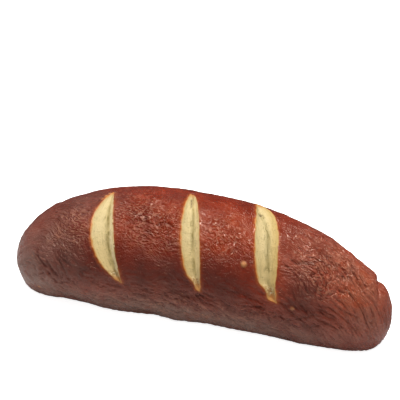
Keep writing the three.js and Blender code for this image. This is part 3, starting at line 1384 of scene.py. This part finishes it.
@dataclass(frozen=True)
class CrustFinish:
    """Glossy lye crust: mahogany, patchily darker, orange where thin; painted crease shade, glints and
    sheen.
    """

    name: str = "lye_crust"
    tones: tuple[tuple[float, Colour], ...] = (
        (0.0, (0.060, 0.009, 0.006)),
        (0.3, (0.124, 0.012, 0.005)),
        (0.5, (0.202, 0.020, 0.006)),
        (0.75, (0.310, 0.036, 0.008)),
        (1.0, (0.420, 0.068, 0.013)),
    )
    drift_scale: float = 95.0
    drift: float = 0.5
    spots: float = 0.35
    # Painted reflection: the greyish sheen of the pale floor, painted into the colour, and how patchy it is.
    floor_sheen: Colour = (0.205, 0.112, 0.088)
    floor_sheen_mottle: Blend = Blend((0.3, 0.6), (0.5, 1.0))
    # Painted shade: the dark colour painted into the creases and furrows, and where it shows.
    crease: Colour = (0.070, 0.010, 0.007)
    creased: Blend = Blend((0.25, 1.0), (0.0, 0.6))
    # ridge is a painted highlight: the pale pinkish tan of glints, painted on the tops of the fine ridges.
    ridge: Colour = (0.530, 0.220, 0.128)
    ridge_width: float = 1.35
    ridge_stretch: float = 2.4
    ridge_detail: float = 1.5
    ridge_line: Blend = Blend((0.0, 0.13), (1.0, 0.0))
    ridge_tops: Blend = Blend((0.6, 0.98))
    # Where the painted glints show, and how patchily.
    glint_wrinkling: Blend = Blend((0.12, 0.6))
    glint_patch_scale: float = 210.0
    glint_patches: Blend = Blend((0.36, 0.62), (0.1, 0.37))
    flecks: Sprinkle = Sprinkle((0.50, 0.190, 0.085), 300.0, 0.12, 0.4)
    rim: RimLook = RimLook((0.62, 0.300, 0.085), (0.36, 0.080, 0.012), 0.5, 2.0, 1.0, 0.8)
    blister: Colour = (0.56, 0.250, 0.090)
    underside: Colour = (0.215, 0.082, 0.032)
    underside_share: float = 0.9
    toasted: Colour = (0.085, 0.026, 0.013)
    toast_scale: float = 80.0
    toast_detail: float = 5.0
    toast_rough: float = 0.65
    toasted_patches: Blend = Blend((0.38, 0.64), (0.0, 0.85))
    toasted_spots: Blend = Blend((0.5, 0.62), (0.0, 0.6))
    flour: Sprinkle = Sprinkle((0.420, 0.260, 0.140), 520.0, 0.22, 0.3)
    gloss: Blend = Blend((0.3, 0.7), (0.11, 0.22))
    dull_underside: float = 0.8
    varnish: Colour = (1.0, 0.72, 0.56)
    varnish_level: float = 0.6
    bump_height: float = 0.0006
    grain_scale: float = 700.0
    grain_creasing: float = 0.6
    grain_share: float = 0.3

    def build(self, effects: Effects) -> bpy.types.Material:
        """Makes the material.

        Args:
            effects: The shared node groups.

        Returns:
            The finished material.
        """
        bench = FinishBench(self.name)
        inputs = {"Scale": self.grain_scale, "Creasing": self.grain_creasing}
        grain = effects.grain.placed(bench, inputs)
        underside = bench.value_on_skin("underside")
        ridges, painted_glints = self._ridges(bench)
        colour = self._colour(bench, effects, grain["Mottle"], painted_glints)
        base = self._underside_colour(bench, effects, grain["Mottle"])
        rough = bench.span(grain["Mottle"], self.gloss)
        fade = bench.times(bench.math("SUBTRACT", self.dull_underside, rough), underside)
        height = bench.math("ADD", bench.times(grain["Height"], self.grain_share), ridges)
        return bench.finished(
            {
                "Base Color": bench.mix(bench.times(underside, self.underside_share), colour, base),
                "Roughness": bench.math("ADD", rough, fade),
                "Normal": bench.bump(height, self.bump_height),
                "Specular IOR Level": self.varnish_level,
                "Specular Tint": (*self.varnish, 1.0),
            }
        )

    def _underside_colour(self, bench: FinishBench, effects: Effects, mottle: Socket) -> Socket:
        """Mixes the colours of the base: tan, toasted in patches, with flour left in its pores.

        Args:
            bench: The material's nodes.
            effects: The shared node groups.
            mottle: The grain's mottle.

        Returns:
            The colour's socket.
        """
        noise = bench.noise(bench.place, self.toast_scale, self.toast_detail, self.toast_rough)
        colour = bench.mix(bench.span(noise, self.toasted_patches), self.underside, self.toasted)
        colour = bench.mix(bench.span(mottle, self.toasted_spots), colour, self.toasted)
        return effects.flecks.strewn(bench, colour, self.flour)

    def _ridges(self, bench: FinishBench) -> tuple[Socket, Socket]:
        """Raises fine short ridges along the crust's flow, where it is wrinkled.

        Args:
            bench: The material's nodes.

        Returns:
            The sockets for their height and for the glints painted on their tops, both 0 to 1.
        """
        flow = bench.add("ShaderNodeAttribute", {"attribute_name": "crust_flow"}).outputs["Vector"]
        narrow = (1.0 / (self.ridge_width * self.ridge_stretch), 1.0 / self.ridge_width, 1.0)
        drawn_out = bench.add("ShaderNodeVectorMath", {"operation": "MULTIPLY"}, {0: flow, 1: narrow})
        noise = bench.noise(drawn_out.outputs[0], 1.0, self.ridge_detail)
        ridge = bench.span(bench.lines(noise), self.ridge_line)
        wrinkling = bench.value_on_skin("wrinkling")
        # Painted glints on the ridge tops, where the crust is wrinkled.
        painted_glints = bench.times(bench.span(ridge, self.ridge_tops), bench.span(wrinkling, self.glint_wrinkling))
        return bench.math("MULTIPLY", ridge, wrinkling, clamp=True), painted_glints

    def _colour(self, bench: FinishBench, effects: Effects, mottle: Socket, painted_glints: Socket) -> Socket:
        """Mixes the colours of the crust that the oven's heat reached.

        Args:
            bench: The material's nodes.
            effects: The shared node groups.
            mottle: The grain's mottle.
            painted_glints: How strongly glints are painted on the tops of the fine ridges.

        Returns:
            The colour's socket.
        """
        drift = bench.swing(bench.noise(bench.place, self.drift_scale), self.drift)
        uneven = bench.math("ADD", drift, bench.swing(mottle, self.spots))
        tone = bench.math("ADD", bench.value_on_skin("browning"), uneven)
        colour = bench.ramp(tone, self.tones)
        # Paints the floor's greyish sheen into the colour.
        painted_sheen = bench.times(bench.value_on_skin("floor_sheen"), bench.span(mottle, self.floor_sheen_mottle))
        colour = bench.mix(painted_sheen, colour, self.floor_sheen)
        # Paints shade into the creases and furrows.
        colour = bench.mix(bench.span(bench.value_on_skin("crease"), self.creased), colour, self.crease)
        patchy = bench.span(bench.noise(bench.place, self.glint_patch_scale), self.glint_patches)
        # Paints the glints onto the ridge tops, in patches.
        colour = bench.mix(bench.times(painted_glints, patchy), colour, self.ridge)
        colour = effects.flecks.strewn(bench, colour, self.flecks)
        colour = effects.rim.drawn(bench, colour, self.rim)
        return bench.mix(bench.value_on_skin("blister"), colour, self.blister)


@dataclass(frozen=True)
class CrumbFinish:
    """Open crumb in a score cut: pale cream, golden at its edges, grey-brown along the valley."""

    name: str = "open_crumb"
    pale: Colour = (0.565, 0.440, 0.212)
    warm: Colour = (0.520, 0.355, 0.115)
    warm_side: Blend = Blend((0.6, 1.3))
    warm_front: Blend = Blend((0.45, 0.8), (0.0, 0.4))
    strand_counts: tuple[float, float, float] = (12.0, 13.0, 90.0)
    strand_detail: float = 4.0
    strand_rough: float = 0.65
    strand_lean: float = 0.4
    valley: Colour = (0.205, 0.155, 0.038)
    valley_wander: float = 0.35
    valley_line: Blend = Blend((0.0, 0.17), (0.7, 0.0))
    parting_scale: float = 140.0
    parting: Blend = Blend((0.38, 0.6), (0.3, 1.0))
    streak: Blend = Blend((0.5, 0.64))
    streak_reach: Blend = Blend((0.04, 0.26), (0.95, 0.28))
    # Painted light: the brighter colour painted onto the crumb's right flank.
    flank: Colour = (0.720, 0.590, 0.340)
    painted_light_share: float = 0.8
    flecks: Sprinkle = Sprinkle((0.230, 0.160, 0.060), 620.0, 0.3, 0.45)
    tail: Blend = Blend((0.85, 0.92))
    speckle_scale: float = 1300.0
    toast: Colour = (0.260, 0.110, 0.030)
    toast_specks: Blend = Blend((0.47, 0.58), (0.15, 0.9))
    flour: Colour = (0.620, 0.520, 0.360)
    flour_specks: Blend = Blend((0.36, 0.45), (0.7, 0.0))
    gold: Colour = (0.450, 0.165, 0.028)
    front_tip: Blend = Blend((0.92, 0.97), (0.0, 0.9))
    back_tip: Blend = Blend((0.01, 0.06), (0.8, 0.0))
    rim: RimLook = RimLook(gold, warm, 0.5, 1.3, 0.9, 0.45)
    # Painted shade: the dark colour painted into the pits.
    pit_shade: Colour = (0.085, 0.050, 0.018)
    roughness: Blend = Blend((0.3, 0.7), (0.62, 0.85))
    bump_height: float = 0.0003
    grain_scale: float = 1100.0
    grain_creasing: float = 0.25

    def build(self, effects: Effects) -> bpy.types.Material:
        """Makes the material.

        Args:
            effects: The shared node groups.

        Returns:
            The finished material.
        """
        bench = FinishBench(self.name)
        inputs = {"Scale": self.grain_scale, "Creasing": self.grain_creasing}
        grain = effects.grain.placed(bench, inputs)
        return bench.finished(
            {
                "Base Color": self._colour(bench, effects),
                "Roughness": bench.span(grain["Mottle"], self.roughness),
                "Normal": bench.bump(grain["Height"], self.bump_height),
            }
        )

    def _colour(self, bench: FinishBench, effects: Effects) -> Socket:
        """Mixes the crumb's colours.

        Args:
            bench: The material's nodes.
            effects: The shared node groups.

        Returns:
            The colour's socket.
        """
        across, along = bench.value_on_skin("cut_across"), bench.value_on_skin("cut_along")
        streaks = self._streaks(bench, across, along)
        leaning = bench.math("ADD", across, bench.times(streaks, self.strand_lean))
        colour = bench.mix(bench.span(leaning, self.warm_side), self.pale, self.warm)
        colour = bench.mix(bench.span(along, self.warm_front), colour, self.warm)
        off_line = bench.math("ABSOLUTE", bench.value_on_skin("cut_valley"))
        wandering = bench.math("ADD", off_line, bench.swing(streaks, self.valley_wander))
        parted = bench.span(bench.noise(bench.place, self.parting_scale, 1.0), self.parting)
        line = bench.times(bench.span(wandering, self.valley_line), parted)
        colour = bench.mix(line, colour, self.valley)
        # Paints light onto the crumb's right flank.
        flank = bench.times(bench.value_on_skin("cut_pale"), self.painted_light_share)
        colour = bench.mix(flank, colour, self.flank)
        streaked = bench.times(bench.span(streaks, self.streak), bench.span(off_line, self.streak_reach))
        colour = bench.mix(streaked, colour, self.valley)
        colour = effects.flecks.strewn(bench, colour, self.flecks)
        speckle, tail = bench.noise(bench.place, self.speckle_scale), bench.span(along, self.tail)
        toast = bench.times(tail, bench.span(speckle, self.toast_specks))
        colour = bench.mix(toast, colour, self.toast)
        flour = bench.times(tail, bench.span(speckle, self.flour_specks))
        colour = bench.mix(flour, colour, self.flour)
        tips = bench.math("MAXIMUM", *(bench.span(along, tip) for tip in (self.front_tip, self.back_tip)))
        colour = bench.mix(tips, colour, self.gold)
        colour = effects.rim.drawn(bench, colour, self.rim)
        # Paints shade into the pits.
        return bench.mix(bench.value_on_skin("pit"), colour, self.pit_shade)

    def _streaks(self, bench: FinishBench, across: Socket, along: Socket) -> Socket:
        """Draws the torn strands of the crumb, which run along the cut.

        Args:
            bench: The material's nodes.
            across: The share of the way across the cut.
            along: The share of the way along it.

        Returns:
            The socket of the noise that they make.
        """
        side = bench.add("ShaderNodeSeparateXYZ", None, {0: bench.place}).outputs["X"]
        ways = [bench.times(way, count) for way, count in zip((across, along, side), self.strand_counts)]
        strands = bench.add("ShaderNodeCombineXYZ", None, dict(enumerate(ways))).outputs[0]
        return bench.noise(strands, 1.0, self.strand_detail, self.strand_rough)


@dataclass
class PretzelRoll:
    """The roll: one baked piece."""

    low: Vector
    high: Vector
    cuts: tuple[ScoreCut, ...] = (
        ScoreCut(
            back_tip=(-45.0, -16.0),
            front_tip=(-29.4, 75.0),
            left=CutSide(bulge=9.8, fullest=0.53, roundness=1.7, seed=81),
            right=CutSide(bulge=0.3, fullest=0.5, roundness=1.5, seed=82, wobble=0.05),
            valley=(0.7, 0.72, 0.6),
            depth=1.4,
            right_painted_light=1.0,
        ),
        ScoreCut(
            back_tip=(-9.4, -22.0),
            front_tip=(5.1, 73.0),
            left=CutSide(bulge=5.1, fullest=0.62, roundness=1.5, seed=83, shoulder=0.9),
            right=CutSide(bulge=3.3, fullest=0.35, roundness=1.1, seed=84, wobble=0.16),
            valley=(0.64, 0.64, 0.54),
            depth=1.5,
            right_painted_light=0.5,
        ),
        ScoreCut(
            back_tip=(20.6, -38.0),
            front_tip=(38.2, 69.0),
            left=CutSide(bulge=6.2, fullest=0.78, roundness=1.5, seed=85, shoulder=1.6),
            right=CutSide(bulge=6.6, fullest=0.27, roundness=2.0, seed=86),
            valley=(0.12, 0.6, 0.56),
            depth=1.7,
            right_painted_light=0.0,
        ),
    )
    piece: bpy.types.Object = field(init=False)
    skin: RollSkin = field(init=False, repr=False)

    def build(self) -> None:
        """Makes the mesh, over the middle of the CAD solid's box."""
        size = (self.high - self.low) / MM
        form = LoafForm(length=size.x, height=size.z)
        self.skin = RollSkin(form, self.cuts)
        relief = CrustRelief(form, self.skin)
        smooth = form.point(self.skin.x, self.skin.sweep)
        centre = (smooth.max(axis=0) + smooth.min(axis=0)) / 2
        middle = (self.low + self.high) / 2
        shift = np.array([middle.x / MM - centre[0], middle.y / MM - centre[1], self.low.z / MM])
        mesh = bpy.data.meshes.new(NAME)
        mesh.from_pydata((relief.points + shift) * MM, [], self.skin.quads)
        mesh.polygons.foreach_set("use_smooth", np.ones(len(self.skin.quads), dtype=bool))
        for name, values in relief.values.items():
            kind, key = ("FLOAT", "value") if values.ndim == 1 else ("FLOAT_VECTOR", "vector")
            attribute = mesh.attributes.new(name, kind, "POINT")
            attribute.data.foreach_set(key, values.astype(np.float32).ravel())
        inside = relief.values["cut_distance"][self.skin.quads].mean(axis=1) < 0.0
        zones = np.where(inside, Zone.CRUMB.value, Zone.CRUST.value)
        mesh.polygons.foreach_set("material_index", zones.astype(np.int32))
        mesh.update()
        self.piece = bpy.data.objects.new(NAME, mesh)
        bpy.context.scene.collection.objects.link(self.piece)

    def dress(self, effects: Effects) -> None:
        """Gives the crust and the crumb their finishes.

        Args:
            effects: The shared node groups.
        """
        self.piece.data.materials.append(CrustFinish().build(effects))
        self.piece.data.materials.append(CrumbFinish().build(effects))

    def join_frame(self) -> None:
        """Ties the roll to the CAD body that it stands for."""
        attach(self.piece, BODY)
        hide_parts(NODE)


@dataclass(frozen=True)
class Studio:
    """A plain pale floor, a wide soft lamp overhead, soft fill, and the camera."""

    centre: Vector
    floor_size: float = 6.0
    floor_colour: Colour = (0.93, 0.93, 0.93)
    floor_glow: float = 0.8
    floor_roughness: float = 0.8
    dimmed: Blend = Blend((-0.02, 0.05), (0.4, 0.95))
    lamp_size: Pair = (0.28, 0.24)
    lamp_place: tuple[float, float, float] = (-0.07, 0.30, 0.85)
    lamp_watts: float = 11.5
    sky_strength: float = 0.45
    sky_gloss: float = 0.03
    camera_azimuth: float = 14.73
    camera_elevation: float = 42.0
    camera_distance: float = 0.3027
    camera_field: float = 38.0
    aim_offset: tuple[float, float, float] = (-0.01115, 0.0368, 0.020)

    def build(self) -> None:
        """Makes the floor, the lights and the camera."""
        self._floor()
        self._lights()
        self._camera()
        bpy.context.scene.view_settings.view_transform = "Standard"

    def _floor(self) -> None:
        """Lays the floor under the roll."""
        half = self.floor_size / 2
        corners = [(-half, -half, 0), (half, -half, 0), (half, half, 0), (-half, half, 0)]
        mesh = bpy.data.meshes.new("floor")
        mesh.from_pydata(corners, [], [(0, 1, 2, 3)])
        floor = bpy.data.objects.new("floor", mesh)
        bpy.context.scene.collection.objects.link(floor)
        floor.data.materials.append(self._floor_finish())

    def _floor_finish(self) -> bpy.types.Material:
        """Makes a matt white that stays bright to the camera and is dim in the crust's gloss.

        Returns:
            The finished material.
        """
        bench = FinishBench("pale_floor")
        ray = bench.add("ShaderNodeLightPath").outputs
        depth = bench.add("ShaderNodeSeparateXYZ", None, {0: bench.place}).outputs["Y"]
        dim = bench.times(ray["Is Glossy Ray"], bench.span(depth, self.dimmed))
        return bench.finished(
            {
                "Base Color": bench.mix(dim, self.floor_colour, BLACK),
                "Emission Color": (*WHITE, 1.0),
                "Emission Strength": bench.times(ray["Is Camera Ray"], self.floor_glow),
                "Roughness": self.floor_roughness,
                "Specular IOR Level": 0.0,
            }
        )

    def _lights(self) -> None:
        """Hangs the overhead lamp and lights the sky."""
        lamp = bpy.data.lights.new("softbox", "AREA")
        lamp.shape = "RECTANGLE"
        lamp.size, lamp.size_y = self.lamp_size
        lamp.energy = self.lamp_watts
        holder = bpy.data.objects.new("softbox", lamp)
        holder.location = self.centre + Vector(self.lamp_place)
        holder.rotation_euler = (-Vector(self.lamp_place)).to_track_quat("-Z", "Y").to_euler()
        bpy.context.scene.collection.objects.link(holder)
        world = bpy.data.worlds.new("soft_fill")
        world.use_nodes = True
        bench = NodeBench(world.node_tree)
        ray = bench.add("ShaderNodeLightPath").outputs
        drop = bench.times(ray["Is Glossy Ray"], self.sky_strength - self.sky_gloss)
        seen = bench.times(ray["Is Camera Ray"], 1.0 - self.sky_strength)
        strength = bench.math("ADD", bench.math("SUBTRACT", self.sky_strength, drop), seen)
        sky = {"Color": (*WHITE, 1.0), "Strength": strength}
        bench.feed(world.node_tree.nodes["Background"], sky)
        bpy.context.scene.world = world

    def _camera(self) -> None:
        """Sets the camera up in front of the roll, looking down over it."""
        turn, rise = math.radians(self.camera_azimuth), math.radians(self.camera_elevation)
        back = Vector(
            (math.sin(turn) * math.cos(rise), -math.cos(turn) * math.cos(rise), math.sin(rise))
        )
        camera = bpy.data.cameras.new("camera")
        camera.angle = math.radians(self.camera_field)
        holder = bpy.data.objects.new("camera", camera)
        base = Vector((self.centre.x, self.centre.y, 0.0))
        holder.location = base + Vector(self.aim_offset) + back * self.camera_distance
        holder.rotation_euler = back.to_track_quat("Z", "Y").to_euler()
        bpy.context.scene.collection.objects.link(holder)
        bpy.context.scene.camera = holder


def main() -> None:
    """Builds the roll and its studio."""
    logging.basicConfig(level=logging.INFO, format="%(name)s: %(message)s")
    low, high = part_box(NODE)
    effects = Effects(BakedGrain(), CutRim(), BakedFlecks())
    roll = PretzelRoll(low, high)
    roll.build()
    roll.dress(effects)
    roll.join_frame()
    log.info("%s has %d faces", roll.piece.name, len(roll.piece.data.polygons))
    Studio((low + high) / 2).build()
    log.info("floor, softbox and camera are in place")


if __name__ == "__main__":
    main()
